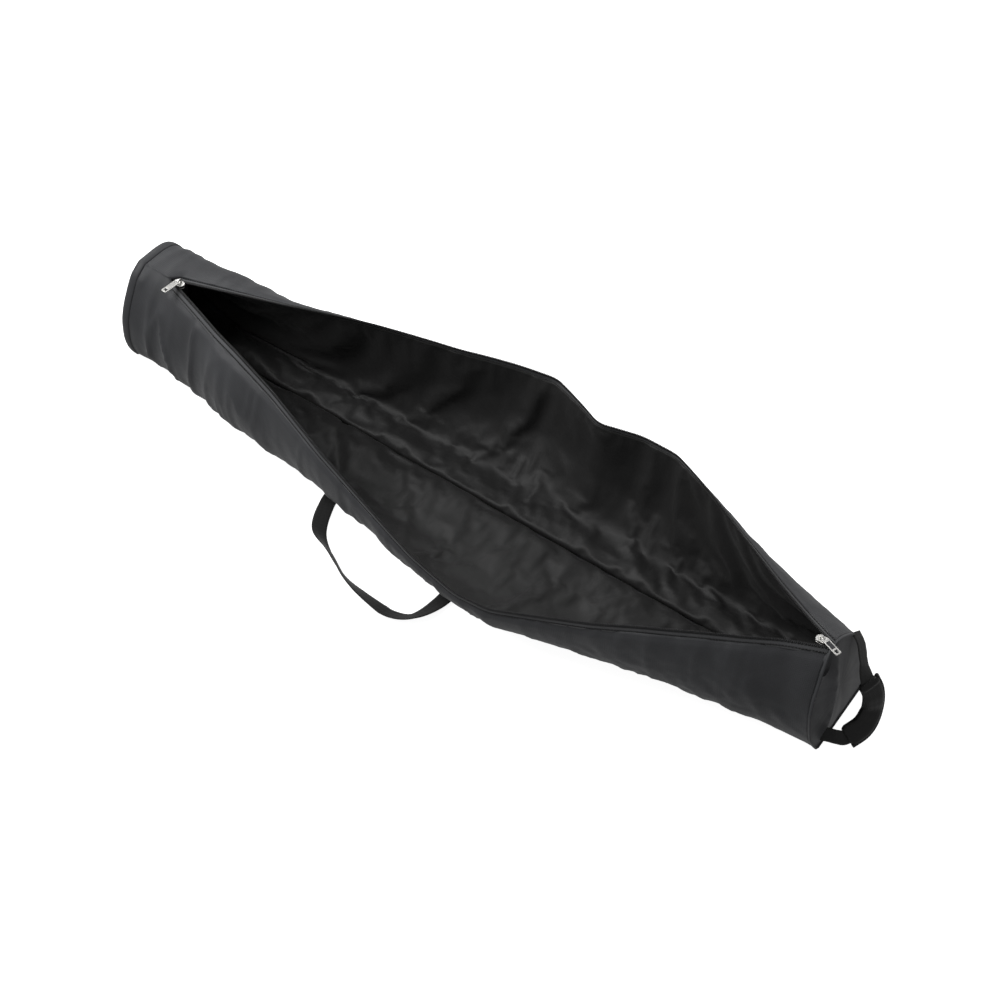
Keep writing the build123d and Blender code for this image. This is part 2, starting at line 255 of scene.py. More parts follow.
def slab(name, top, bottom, material):
    """A closed sheet with thickness, between two grids of points of the same shape."""
    rows, columns = top.shape[:2]
    vertices = np.concatenate([top.reshape(-1, 3), bottom.reshape(-1, 3)])
    steps_u = np.linalg.norm(np.diff(top, axis=0), axis=-1).mean(axis=1)
    steps_v = np.linalg.norm(np.diff(top, axis=1), axis=-1).mean(axis=0)
    u = np.concatenate([[0], np.cumsum(steps_u)])
    v = np.concatenate([[0], np.cumsum(steps_v)])
    uvs = [(a, b) for a in u for b in v] * 2
    under = rows * columns

    def at(i, j):
        return i * columns + j

    faces = []
    for i in range(rows - 1):
        for j in range(columns - 1):
            quad = [at(i, j), at(i + 1, j), at(i + 1, j + 1), at(i, j + 1)]
            faces.append(quad)
            faces.append([under + k for k in reversed(quad)])
    border = [at(i, 0) for i in range(rows)]
    border += [at(rows - 1, j) for j in range(1, columns)]
    border += [at(i, columns - 1) for i in range(rows - 2, -1, -1)]
    border += [at(0, j) for j in range(columns - 2, 0, -1)]
    for a, b in zip(border, border[1:] + border[:1]):
        faces.append([b, a, under + a, under + b])
    return outward(new_piece(name, vertices, faces, uvs, material))


def tube_through(name, centres, sections, material, closed_ends=True):
    """A skin through section loops, one at each centre."""
    loops = np.array(sections) + np.array(centres)[:, None, :]
    rows, around = loops.shape[:2]
    lengths = np.concatenate([[0], np.cumsum(np.linalg.norm(np.diff(centres, axis=0), axis=1))])
    girth = np.linalg.norm(np.diff(loops[0], axis=0), axis=1).sum()
    uvs = [(a, girth * j / around) for a in lengths for j in range(around)]
    faces = []
    for i in range(rows - 1):
        for j in range(around):
            k = (j + 1) % around
            faces.append([i * around + j, (i + 1) * around + j, (i + 1) * around + k, i * around + k])
    if closed_ends:
        faces.append(list(range(around)))
        faces.append([(rows - 1) * around + j for j in reversed(range(around))])
    return outward(new_piece(name, loops.reshape(-1, 3), faces, uvs, material))


def follow_wall(piece, wall, fade=None):
    """Bakes the piece's placing into its mesh and works out the share of its wall's turn at each point:
    by x along the bag, and fading to nothing round the corner.

    The share differs all along the bag. It is worked out here but not written to the piece."""
    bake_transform(piece)
    co = np.array([v.co for v in piece.data.vertices])
    share = wall.weight(co[:, 0])
    if fade is not None:
        share = share * fade
    return piece


# ---------------------------------------------------------------- materials
def material(name, colour, roughness, sheen=0.0, metallic=0.0):
    made = bpy.data.materials.new(name)
    made.use_nodes = True
    shader = made.node_tree.nodes["Principled BSDF"]
    shader.inputs["Base Color"].default_value = (*colour, 1)
    shader.inputs["Roughness"].default_value = roughness
    shader.inputs["Metallic"].default_value = metallic
    shader.inputs["Sheen Weight"].default_value = sheen
    shader.inputs["Sheen Roughness"].default_value = 0.45
    if not metallic:
        shader.inputs["Specular IOR Level"].default_value = 0.22
    return made, made.node_tree, shader


def math_node(tree, operation, a, b):
    node = tree.nodes.new("ShaderNodeMath")
    node.operation = operation
    for socket, value in zip(node.inputs, (a, b)):
        if isinstance(value, (int, float)):
            socket.default_value = value
        else:
            tree.links.new(value, socket)
    return node.outputs[0]


def scaled_noise(tree, coordinates, scale, detail=3.0):
    node = tree.nodes.new("ShaderNodeTexNoise")
    node.inputs["Scale"].default_value = scale
    node.inputs["Detail"].default_value = detail
    tree.links.new(coordinates, node.inputs["Vector"])
    return node.outputs["Fac"]


def threads(tree, coordinates, direction, pitch):
    """A ridge for each thread of the weave, one way across the cloth."""
    node = tree.nodes.new("ShaderNodeTexWave")
    node.bands_direction = direction
    node.inputs["Scale"].default_value = 1 / (pitch * 2 * math.pi) * 0.5
    node.inputs["Distortion"].default_value = 0.4
    tree.links.new(coordinates, node.inputs["Vector"])
    return node.outputs["Fac"]


def vary_colour(tree, shader, dark, light, amount):
    ramp = tree.nodes.new("ShaderNodeValToRGB")
    ramp.color_ramp.elements[0].color = (*dark, 1)
    ramp.color_ramp.elements[1].color = (*light, 1)
    ramp.color_ramp.elements[0].position = 0.3
    ramp.color_ramp.elements[1].position = 0.7
    tree.links.new(amount, ramp.inputs["Fac"])
    tree.links.new(ramp.outputs["Color"], shader.inputs["Base Color"])


def add_bump(tree, shader, height, strength, distance):
    bump = tree.nodes.new("ShaderNodeBump")
    bump.inputs["Strength"].default_value = strength
    bump.inputs["Distance"].default_value = distance
    tree.links.new(height, bump.inputs["Height"])
    tree.links.new(bump.outputs["Normal"], shader.inputs["Normal"])


def cloth(name, dark, light, roughness, sheen, pitch, crinkle=0.0):
    """A woven cloth: threads both ways, uneven dye, worn patches and, if asked, fine crinkles."""
    made, tree, shader = material(name, light, roughness, sheen)
    place = tree.nodes.new("ShaderNodeTexCoord").outputs["UV"]
    weave = math_node(tree, "MULTIPLY", threads(tree, place, "X", pitch), threads(tree, place, "Y", pitch))
    patches = scaled_noise(tree, place, 9.0, 6.0)
    flecks = scaled_noise(tree, place, 900.0, 2.0)
    mixed = math_node(tree, "ADD", math_node(tree, "MULTIPLY", patches, 0.75),
                      math_node(tree, "MULTIPLY", flecks, 0.25))
    vary_colour(tree, shader, dark, light, mixed)
    wear = math_node(tree, "MULTIPLY", scaled_noise(tree, place, 30.0, 4.0), 0.2)
    tree.links.new(math_node(tree, "ADD", wear, roughness - 0.1), shader.inputs["Roughness"])
    height = math_node(tree, "MULTIPLY", weave, 0.15)
    if crinkle:
        rumple = math_node(tree, "MULTIPLY", scaled_noise(tree, place, 28.0, 5.0), crinkle)
        height = math_node(tree, "ADD", height, rumple)
    add_bump(tree, shader, height, 0.6, 0.002)
    return made


def metal(name, colour, roughness):
    made, tree, shader = material(name, colour, roughness, metallic=1.0)
    place = tree.nodes.new("ShaderNodeTexCoord").outputs["Object"]
    rubbed = scaled_noise(tree, place, 350.0, 4.0)
    wear = math_node(tree, "MULTIPLY", rubbed, 0.25)
    tree.links.new(math_node(tree, "ADD", wear, roughness - 0.1), shader.inputs["Roughness"])
    add_bump(tree, shader, rubbed, 0.15, 0.0003)
    return made


NYLON = cloth("outer_nylon", dark=(0.022, 0.0225, 0.0245), light=(0.038, 0.039, 0.042),
              roughness=0.52, sheen=0.05, pitch=0.0007, crinkle=0.35)
SATIN = cloth("lining_nylon", dark=(0.0115, 0.0114, 0.0114), light=(0.0175, 0.0174, 0.0174),
              roughness=0.5, sheen=0.03, pitch=0.0004, crinkle=0.2)
WEBBING = cloth("webbing", dark=(0.012, 0.012, 0.012), light=(0.022, 0.022, 0.022),
                roughness=0.75, sheen=0.15, pitch=0.0018)
TAPE_CLOTH = cloth("zip_tape", dark=(0.045, 0.046, 0.048), light=(0.066, 0.067, 0.070),
                   roughness=0.6, sheen=0.1, pitch=0.0006)
GRIP_CLOTH = cloth("grip_cover", dark=(0.006, 0.006, 0.006), light=(0.011, 0.011, 0.0112),
                   roughness=0.35, sheen=0.05, pitch=0.0006, crinkle=0.4)
BINDING = cloth("binding", dark=(0.010, 0.010, 0.010), light=(0.016, 0.016, 0.0163),
                roughness=0.6, sheen=0.1, pitch=0.0009)
TEETH = cloth("zip_teeth", dark=(0.008, 0.008, 0.008), light=(0.014, 0.014, 0.0145),
              roughness=0.4, sheen=0.0, pitch=0.0008)
SILVER = metal("slider_silver", colour=(0.46, 0.455, 0.44), roughness=0.32)
GUNMETAL = metal("tab_gunmetal", colour=(0.05, 0.05, 0.053), roughness=0.45)


# ---------------------------------------------------------------- the padded walls and base
def bag_stations():
    """The x of each row of fabric, from the head's rim to the foot."""
    return np.arange(RIM_END - ROWS_PAST, MOUTH_FOOT + ROWS_PAST, STEP)


FOOT_STRETCH = 0.06          # the length of fabric that stretches to meet the foot end
FOOT_SET_BACK = 0.003        # how far short of the end panel's plane it stops
LAST_ROW = MOUTH_FOOT + 0.001


def to_foot(points):
    """A copy of the points whose last rows stretch to meet the foot end's askew plane."""
    points = points.copy()
    x = points[..., 0]
    share = smooth(MOUTH_FOOT - FOOT_STRETCH, MOUTH_FOOT + ROWS_PAST, x)
    goal = foot_plane_x(points[..., 1], points[..., 2]) - FOOT_SET_BACK
    points[..., 0] = x + share * (goal - LAST_ROW)
    return points


TAPE_EDGE = 0.0009           # half the padding's thickness where it meets the tape
OVERLAP = 0.003              # how far the two walls pass the zip's line where the bag has no mouth
TUCKS = ((0.016, TEXTILE_LOW), (0.007, 0.0008))     # (in from the corner, height) under the base
TUCK_THICK = 0.006


def padded_wall(wall):
    """The outer fabric and its foam, from under the corner up to the zip tape, as one sheet."""
    x = bag_stations()
    zipped = smooth(MOUTH_HEAD - 0.010, MOUTH_HEAD + 0.006, x)[:, None]
    edge = wall.from_edge(x, TAPE * zipped - OVERLAP * (1 - zipped))
    across = np.linspace(0, 1, ACROSS)
    share = across[None, :] * edge
    # the padding thins over the last 12 mm, and the whole way up is about 190 mm
    full = np.maximum(smooth(0, 0.012, (edge - share) * 0.19), 1 - zipped)
    half = TAPE_EDGE + (PAD / 2 - TAPE_EDGE) * full
    relief = outer_relief(wall, x, share)
    top = wall.points(x, share, half + relief)
    bottom = wall.points(x, share, -half + relief * 0.3)
    tuck = []
    for inward, low in TUCKS:
        row = top[:, :1].copy()
        row[..., 1] = eased(x, wall.corner)[:, None] - wall.side * inward
        row[..., 2] = low
        tuck.append(row)
    under = [row + np.array([0, 0, TUCK_THICK]) for row in tuck]
    top = to_foot(np.concatenate(tuck + [top], axis=1))
    bottom = to_foot(np.concatenate(under + [bottom], axis=1))
    piece = slab(f"{wall.name}_wall", top, bottom, NYLON)
    corner_fade = np.concatenate([[0] * len(TUCKS), smooth(-0.02, 0.06, across)])
    fade = np.tile(corner_fade, 2 * len(x))
    follow_wall(piece, wall, fade)
    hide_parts(*[n for n in frame["nodes"] if n.startswith(f"{wall.name}_wall")])
    return piece


def lining_rest(wall, x, along):
    """The lining's surface at each x and each length up from the bottom seam, before it creases."""
    corner = eased(x, wall.corner)[:, None]
    flat = np.abs(corner - SEAM_Y)
    edge = wall.from_edge(x, TAPE - 0.001)
    _, _, radius, _, sweep = wall.arc(x[:, None])
    climb = np.abs(sweep) * radius * edge
    run = along * (flat + climb)
    thin = smooth(0, 0.02, flat + climb - run)
    level = -(0.0012 + (PAD / 2) * thin)
    up = (run - flat) / (np.abs(sweep) * radius)
    standing = wall.points(x, up, level - LINING)
    lying = np.stack([np.broadcast_to(x[:, None], run.shape), SEAM_Y + wall.side * (run + 0.001),
                      np.full_like(run, LINING_LIES)], axis=-1)
    turn = smooth(-0.045, 0.04, run - flat)
    rest = lying + (standing - lying) * turn[..., None]
    # the padding puffs up on either side of the seam
    puff = (0.005 * smooth(0, 0.007, run) + 0.006 * smooth(0, 0.03, run)) * (1 - smooth(0.02, 0.12, run))
    rest[..., 2] += puff * smooth(RIM_END, RIM_END + 0.12, x)[:, None]
    return rest, run, smooth(0.0, 0.07, run - flat + 0.01)


def grid_normals(grid):
    ways = np.cross(np.gradient(grid, axis=0), np.gradient(grid, axis=1))
    return ways / np.maximum(np.linalg.norm(ways, axis=-1), 1e-9)[..., None]


def denser(grid):
    """The grid with a point halfway between each two, eased so that no facet shows."""
    for axis in (0, 1):
        grid = np.moveaxis(grid, axis, 0)
        halfway = (grid[:-1] + grid[1:]) / 2
        bend = np.gradient(np.gradient(grid, axis=0), axis=0)
        halfway = halfway - (bend[:-1] + bend[1:]) / 16
        out = np.empty((len(grid) * 2 - 1, *grid.shape[1:]))
        out[0::2] = grid
        out[1::2] = halfway
        grid = np.moveaxis(out, 0, axis)
    return grid


def creased_by_cloth(rest, inward, wall):
    """The lining's slack buckles between its held borders, in a short cloth simulation on the padding.

    The padding's faces have to look at the cloth, so the front side's are turned over."""
    rows, columns = rest.shape[:2]
    flat = rest.reshape(-1, 3)
    faces = [[i * columns + j, (i + 1) * columns + j, (i + 1) * columns + j + 1,
              i * columns + j + 1][::wall.side] for i in range(rows - 1) for j in range(columns - 1)]
    sheet = new_piece(f"{wall.name}_cloth", flat, faces, [(0, 0)] * len(flat), SATIN)
    backing = new_piece(f"{wall.name}_backing", (rest - inward * CLOTH_GAP).reshape(-1, 3), faces,
                        [(0, 0)] * len(flat), SATIN)
    backing.modifiers.new("stop", "COLLISION")
    backing.collision.thickness_outer = 0.002
    held = sheet.vertex_groups.new(name="held")
    edge = [i * columns + j for i in range(rows) for j in range(columns)
            if i in (0, rows - 1) or j in (0, columns - 1)]
    held.add(edge, 1.0, "REPLACE")
    cloth = sheet.modifiers.new("cloth", "CLOTH")
    cloth.settings.quality = 6
    cloth.settings.mass = 0.15
    cloth.settings.tension_stiffness = 20
    cloth.settings.compression_stiffness = 20
    cloth.settings.shear_stiffness = 8
    cloth.settings.bending_stiffness = CLOTH_BEND
    cloth.settings.shrink_min = -CLOTH_SLACK
    cloth.settings.vertex_group_mass = "held"
    cloth.collision_settings.distance_min = 0.002
    cloth.point_cache.frame_end = CLOTH_FRAMES
    for frame_number in range(1, CLOTH_FRAMES + 1):
        bpy.context.scene.frame_set(frame_number)
    settled = sheet.evaluated_get(bpy.context.evaluated_depsgraph_get())
    out = np.array([vertex.co for vertex in settled.data.vertices]).reshape(rest.shape)
    bpy.data.objects.remove(sheet)
    bpy.data.objects.remove(backing)
    bpy.context.scene.frame_set(1)
    return out


def side_lining(wall):
    """One side's lining, a single cloth from the bottom seam up to the zip."""
    x = np.arange(RIM_END - ROWS_PAST, MOUTH_FOOT + ROWS_PAST, CLOTH_STEP)
    along = np.linspace(0, 1, CLOTH_ACROSS)[None, :]
    rest, run, fade = lining_rest(wall, x, along)
    inward = grid_normals(rest) * wall.side
    seed = 23.0 if wall.side < 0 else 31.0
    calm = (np.sin(math.pi * along) ** 0.6)[..., None]
    broad = 0.007 * fold_noise(x[:, None], run, across=0.10, lengthways=0.08, seed=seed + 8, octaves=2)
    fine = 0.0015 * fold_noise(x[:, None], run, across=0.03, lengthways=0.04, seed=seed)
    slack = 0.003
    surface = rest + inward * (broad + fine + slack)[..., None] * calm
    surface = creased_by_cloth(surface, inward, wall)
    surface = denser(surface)
    fade = denser(fade[..., None])[..., 0]
    inward = grid_normals(surface) * wall.side
    surface[..., 2] = np.maximum(surface[..., 2], LINING_LEAST)
    top, bottom = to_foot(surface), to_foot(surface - inward * LINING)
    piece = slab(f"{wall.name}_lining", top, bottom, SATIN)
    follow_wall(piece, wall, np.concatenate([fade.ravel()] * 2))
    own = [n for n in frame["nodes"] if n.startswith(f"{wall.name}_lining")]
    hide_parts(*own, f"base_lining_{wall.name}")


def base_pad():
    """The padded base, which stops a little short of the walls' corners."""
    x = bag_stations()
    short = 0.005
    front = eased(x, FRONT_CORNER)[:, None] + short
    back = eased(x, BACK_CORNER)[:, None] - short
    y = front + (back - front) * np.linspace(0, 1, 30)[None, :]
    levels = []
    for level in (BASE_TOP, 0.0):
        flat = np.stack([np.broadcast_to(x[:, None], y.shape), y, np.full_like(y, level)], axis=-1)
        levels.append(to_foot(flat))
    panel = slab("base_panel_padded", *levels, NYLON)
    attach(panel, "root")
    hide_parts("base_panel")


# ---------------------------------------------------------------- zip tape, teeth and stitches
def blocks(name, centres, directions, size, material_used):
    """Many small rounded blocks, each along its own direction."""
    vertices, faces, uvs = [], [], []
    shape = [(-1, -0.7), (-0.6, -1), (0.6, -1), (1, -0.7), (1, 0.7), (0.6, 1), (-0.6, 1), (-1, 0.7)]
    for centre, (along, out) in zip(centres, directions):
        across = np.cross(along, out)
        start = len(vertices)
        for end in (-1, 1):
            for a, b in shape:
                vertices.append(centre + along * end * size[0] + across * a * size[1] + out * b * size[2])
                uvs.append((a * size[1], b * size[2]))
        for k in range(8):
            faces.append([start + k, start + (k + 1) % 8, start + 8 + (k + 1) % 8, start + 8 + k])
        faces.append([start + k for k in reversed(range(8))])
        faces.append([start + 8 + k for k in range(8)])
    return outward(new_piece(name, vertices, faces, uvs, material_used))


TOOTH = (0.0016, 0.0008, 0.0013)      # half a tooth's length, width and thickness
STITCH = (STITCH_PITCH * 0.46, 0.0007, 0.0004)
ROWS_OF_STITCHES = (("coil", 0.0048, 0.0007), ("hem", TAPE - 0.0008, 0.0012))   # name, from the line, up


def along_edge(wall, distance, off, pitch):
    """Points at even steps along the zip edge, with the way along it and the way off the wall."""
    fine = np.arange(MOUTH_HEAD - 0.004, MOUTH_FOOT + 0.001, 0.001)
    line = wall.points(fine, wall.from_edge(fine, distance), off)[:, 0]
    lifted = wall.points(fine, wall.from_edge(fine, distance), off + 0.001)[:, 0]
    run = np.concatenate([[0], np.cumsum(np.linalg.norm(np.diff(line, axis=0), axis=1))])
    at = np.arange(pitch / 2, run[-1], pitch)
    centres = np.stack([np.interp(at, run, line[:, k]) for k in range(3)], axis=-1)
    above = np.stack([np.interp(at, run, lifted[:, k]) for k in range(3)], axis=-1)
    ways = np.gradient(centres, axis=0)
    ways /= np.linalg.norm(ways, axis=1)[:, None]
    outs = above - centres
    outs -= ways * (outs * ways).sum(axis=1)[:, None]
    outs /= np.linalg.norm(outs, axis=1)[:, None]
    return to_foot(centres), list(zip(ways, outs))


def zip_side(wall):
    """The tape and its teeth, and the two rows of stitches that hold the tape to the wall."""
    x = np.arange(MOUTH_HEAD - 0.006, MOUTH_FOOT + 0.004, STEP)
    distance = np.linspace(TAPE + 0.003, HALF_LINE + 0.001, 8)[None, :]
    share = wall.from_edge(x, distance)
    top = wall.points(x, share, TAPE_THICK / 2)
    bottom = wall.points(x, share, -TAPE_THICK / 2)
    tape = slab(f"{wall.name}_zip_tape", to_foot(top), to_foot(bottom), TAPE_CLOTH)
    follow_wall(tape, wall)
    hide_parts(*[n for n in frame["nodes"] if n.startswith(f"{wall.name}_zip")])

    centres, ways = along_edge(wall, HALF_LINE + TOOTH[0], 0.0, TOOTH_PITCH)
    turned = [(np.cross(way, out), out) for way, out in ways]
    teeth = blocks(f"{wall.name}_zip_teeth", centres, turned, TOOTH, TEETH)
    follow_wall(teeth, wall)

    for row, distance, off in ROWS_OF_STITCHES:
        centres, ways = along_edge(wall, distance, off, STITCH_PITCH)
        stitches = blocks(f"{wall.name}_{row}_stitches", centres, ways, STITCH, TEETH)
        follow_wall(stitches, wall)


# ---------------------------------------------------------------- the two ends
def closed_outline(x, off, count=40):
    """The closed bag's section at x as a loop of (y, z), grown by off from the padding's middle."""
    here = np.array([x])
    share = np.linspace(0, 1, count)[None, :]
    up, down = [wall.points(here, share, outer_relief(wall, here, share))[0, :, 1:]
                for wall in (FRONT, BACK)]
    y = np.linspace(down[0, 0] - 0.005, up[0, 0] + 0.005, 12)
    base = np.stack([y, np.full(12, PAD / 2)], axis=-1)
    loop = np.concatenate([up, down[::-1][1:], base])
    ways = np.roll(loop, -1, axis=0) - np.roll(loop, 1, axis=0)
    ways /= np.linalg.norm(ways, axis=1)[:, None]
    loop = loop + np.stack([-ways[:, 1], ways[:, 0]], axis=-1) * off
    loop[:, 1] = np.maximum(loop[:, 1], TEXTILE_LOW)
    return loop


def rings(name, loops, xs_of, material_used, cap=True):
    """A skin through loops of (y, z), where xs_of(loop number, y, z) gives each point's x."""
    points = []
    for k, loop in enumerate(loops):
        points.append([[xs_of(k, y, z), y, z] for y, z in loop])
    return tube_through(name, [(0, 0, 0)] * len(loops), points, material_used, closed_ends=cap)


def head_end():
    """The rim band, which wraps the end of the padding, and the end panel set inside it."""
    section_x = X_HEAD + 0.012
    # (x, off from the middle of the padding), up the outside of the band and back inside it
    rim = [(X_HEAD, 0.0015), (X_HEAD, 0.0052), (X_HEAD + 0.004, 0.0062), (RIM_END - 0.002, 0.0062),
           (RIM_END, 0.0048)]
    inner = [(RIM_END, -0.003), (X_HEAD + 0.003, -0.003), (X_HEAD, 0.0015)]
    path = rim + inner
    loops = [closed_outline(section_x, off) for _, off in path]
    band = rings("head_rim", loops, lambda k, y, z: path[k][0], NYLON, cap=False)
    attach(band, "root")
    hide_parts("head_rim_band")

    edge = closed_outline(section_x, -0.0025)
    middle = edge.mean(axis=0)
    shrink = [1.0, 0.97, 0.85, 0.6, 0.3, 0.03]
    loops = [middle + (edge - middle) * s for s in shrink]

    def panel_x(k, y, z):
        dish = 0.006 * (1 - shrink[k]) + 0.0015 * noise.noise(Vector((y * 25, z * 25, 3)))
        return X_HEAD + 0.0035 + dish * (k > 0)

    panel = rings("head_panel", loops, panel_x, NYLON)
    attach(panel, "root")
    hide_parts("head_end_panel", "head_tube")


def foot_end():
    """The end panel, which bulges and creases, and the bound seam round it."""
    x = MOUTH_FOOT - 0.002
    seam = closed_outline(x, 0.0045)
    middle = seam.mean(axis=0)
    shrink = [1.0, 0.99, 0.95, 0.88, 0.78, 0.64, 0.48, 0.3, 0.12, 0.02]
    loops = [middle + (seam - middle) * s for s in shrink]

    def panel_x(k, y, z):
        bulge = 0.0075 * (1 - shrink[k] ** 2)
        crease = 0.006 * hump(y + 0.045 - 0.16 * z, 0.006) * (1 - shrink[k])
        hollow = 0.012 * hump(y + 0.038, 0.012) * hump(z - 0.160, 0.018)
        rumple = 0.003 * noise.fractal(Vector((y * 22, z * 9, 5)), 0.9, 2.0, 2) * (1 - shrink[k] ** 6)
        return foot_plane_x(y, z) - 0.002 + bulge + crease - hollow * (k > 0) + rumple

    panel = rings("foot_panel", loops, panel_x, NYLON)
    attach(panel, "root")
    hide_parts("foot_end_panel", "foot_tube")

    # (x from the end's plane, off from the middle of the padding), round the band's section
    path = [(-0.005, 0.004), (-0.004, 0.0056), (-0.0005, 0.006), (0.001, 0.005), (0.0, 0.0035),
            (-0.005, 0.004)]
    loops = [closed_outline(x, off) for _, off in path]
    band = rings("foot_binding", loops, lambda k, y, z: foot_plane_x(y, z) + path[k][0], NYLON, cap=False)
    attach(band, "root")
    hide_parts("foot_seam_binding")


# ---------------------------------------------------------------- sliders and pull tabs
def plate(name, outline, holes, thick, bevel, material_used):
    """A flat plate with rounded edges and holes, in its own XY plane."""
    curve = bpy.data.curves.new(name, "CURVE")
    curve.dimensions = "2D"
    curve.fill_mode = "BOTH"
    curve.extrude = thick / 2 - bevel
    curve.bevel_depth = bevel
    curve.bevel_resolution = 2
    for loop in [outline, *holes]:
        spline = curve.splines.new("POLY")
        spline.points.add(len(loop) - 1)
        for point, (a, b) in zip(spline.points, loop):
            point.co = (a, b, 0, 1)
        spline.use_cyclic_u = True
    holder = bpy.data.objects.new(name, curve)
    bpy.context.scene.collection.objects.link(holder)
    mesh = bpy.data.meshes.new_from_object(holder)
    bpy.data.objects.remove(holder)
    piece = bpy.data.objects.new(name, mesh)
    bpy.context.scene.collection.objects.link(piece)
    mesh.materials.clear()
    mesh.materials.append(material_used)
    return piece


def rounded(length, width, radius, centre=(0, 0), steps=6):
    """A rectangle's outline with round corners."""
    points = []
    for corner, (sx, sy) in enumerate([(1, 1), (-1, 1), (-1, -1), (1, -1)]):
        for k in range(steps + 1):
            angle = math.radians(90 * (corner + k / steps))
            points.append((centre[0] + sx * (length / 2 - radius) + radius * math.cos(angle),
                           centre[1] + sy * (width / 2 - radius) + radius * math.sin(angle)))
    return points


def joined(name, parts):
    """The parts as one piece, which keeps their materials."""
    bpy.context.view_layer.update()
    with bpy.context.temp_override(active_object=parts[0], object=parts[0],
                                   selected_editable_objects=parts, selected_objects=parts):
        bpy.ops.object.join()
    parts[0].name = name
    parts[0].data.name = name
    return parts[0]


def placed(piece, origin, x_way, z_way):
    x_way = Vector(x_way).normalized()
    z_way = Vector(z_way).normalized()
    turn = Matrix((x_way, z_way.cross(x_way), z_way)).transposed().to_4x4()
    piece.data.transform(Matrix.Translation(origin) @ turn)
    return piece


BAR_TO_SHELLS = (0.0057, 0.0103)     # from the tab's bar down to the middle of each shell
SHELL = (0.018, 0.0116, 0.0054)      # length, width and corner radius
POST = (0.003, 0.003, 0.0014)
TAB_WIDE = 0.0092


def slider(end):
    """The slider's plates, post and arched bridge, and its pull tab."""
    low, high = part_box(f"{end}_slider")
    pivot = Vector(JOINTS[f"{end}_tab_flip"]["pos_m"])
    bar = Vector(JOINTS[f"{end}_tab_flip"]["axis"])
    middle = (low + high) / 2
    lies = Vector((0, 0, 1)).cross(bar)
    dip = math.radians(TAB_DIP[end])
    reach = lies * math.cos(dip) - Vector((0, 0, 1)) * math.sin(dip)
    parts = []
    for drop in BAR_TO_SHELLS:
        shell = plate("shell", rounded(*SHELL), [], thick=0.0014, bevel=0.0004, material_used=SILVER)
        parts.append(placed(shell, Vector((middle.x, middle.y, pivot.z - drop)), (1, 0, 0), (0, 0, 1)))
    post = plate("post", rounded(*POST), [], thick=0.004, bevel=0.0002, material_used=SILVER)
    halfway = pivot.z - sum(BAR_TO_SHELLS) / 2
    parts.append(placed(post, Vector((middle.x, middle.y, halfway)), (1, 0, 0), (0, 0, 1)))
    # the bridge from the side, round its outside and back under the bar
    arch = [(-0.0052, -0.0052), (-0.0046, -0.001), (-0.0028, 0.0016), (0.0028, 0.0016), (0.0046, -0.001),
            (0.0052, -0.0052), (0.0032, -0.0052), (0.0028, -0.0022), (0.0016, -0.0012),
            (-0.0016, -0.0012), (-0.0028, -0.0022), (-0.0032, -0.0052)]
    bridge = plate("bridge", arch, [], thick=0.0026, bevel=0.0005, material_used=SILVER)
    side_way = reach.cross(Vector((0, 0, 1))).normalized()
    flat_reach = Vector((reach.x, reach.y, 0)).normalized()
    parts.append(placed(bridge, pivot - flat_reach * 0.0004, flat_reach, side_way))
    body = joined(f"{end}_slider_body_cast", parts)
    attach(body, f"{end}_slider_body")
    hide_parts(f"{end}_slider")
    body.data.shade_smooth()
    pull_tab(end, pivot, reach, bar)


def pull_tab(end, pivot, reach, bar):
    """The tab: a flat frame with a hole for the bar and one at its far end, and an inlay between."""
    up = reach.cross(bar).normalized()
    if up.z < 0:
        up = -up
    clear = 0.002            # of the bar, at the near end
    outline = rounded(TAB_LONG - 2 * clear, TAB_WIDE, 0.0016, (TAB_LONG / 2 + clear, 0))
    near = rounded(0.0042, 0.0036, 0.0008, (0.0066, 0))
    far = rounded(0.0066, 0.0054, 0.0008, (TAB_LONG - 0.0052, 0))
    frame_plate = plate("frame", outline, [near, far], thick=0.0016, bevel=0.0004, material_used=SILVER)
    parts = [placed(frame_plate, pivot, reach, up)]
    inlay = rounded(TAB_LONG - 0.022, 0.0062, 0.0006, (TAB_LONG / 2, 0))
    inner_metal = GUNMETAL if end == "foot" else SILVER
    inner = plate("inlay", inlay, [], thick=0.0019, bevel=0.0002, material_used=inner_metal)
    parts.append(placed(inner, pivot, reach, up))
    tab = joined(f"{end}_tab_plate", parts)
    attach(tab, f"{end}_tab_body")
    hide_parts(f"{end}_pull_tab")
    tab.data.shade_smooth()


# ---------------------------------------------------------------- webbing and grip
def smooth_line(points, count):
    """A smooth curve through the points, at even steps along it."""
    p = np.array(points, float)
    padded = np.concatenate([[2 * p[0] - p[1]], p, [2 * p[-1] - p[-2]]])
    fine = []
    for a, b, c, d in zip(padded, padded[1:], padded[2:], padded[3:]):
        t = np.linspace(0, 1, 40, endpoint=False)[:, None]
        fine.append(0.5 * (2 * b + (c - a) * t + (2 * a - 5 * b + 4 * c - d) * t ** 2
                           + (3 * b - a - 3 * c + d) * t ** 3))
    fine = np.concatenate(fine + [p[-1:]])
    run = np.concatenate([[0], np.cumsum(np.linalg.norm(np.diff(fine, axis=0), axis=1))])
    at = np.linspace(0, run[-1], count)
    return np.stack([np.interp(at, run, fine[:, k]) for k in range(3)], axis=-1), run[-1]


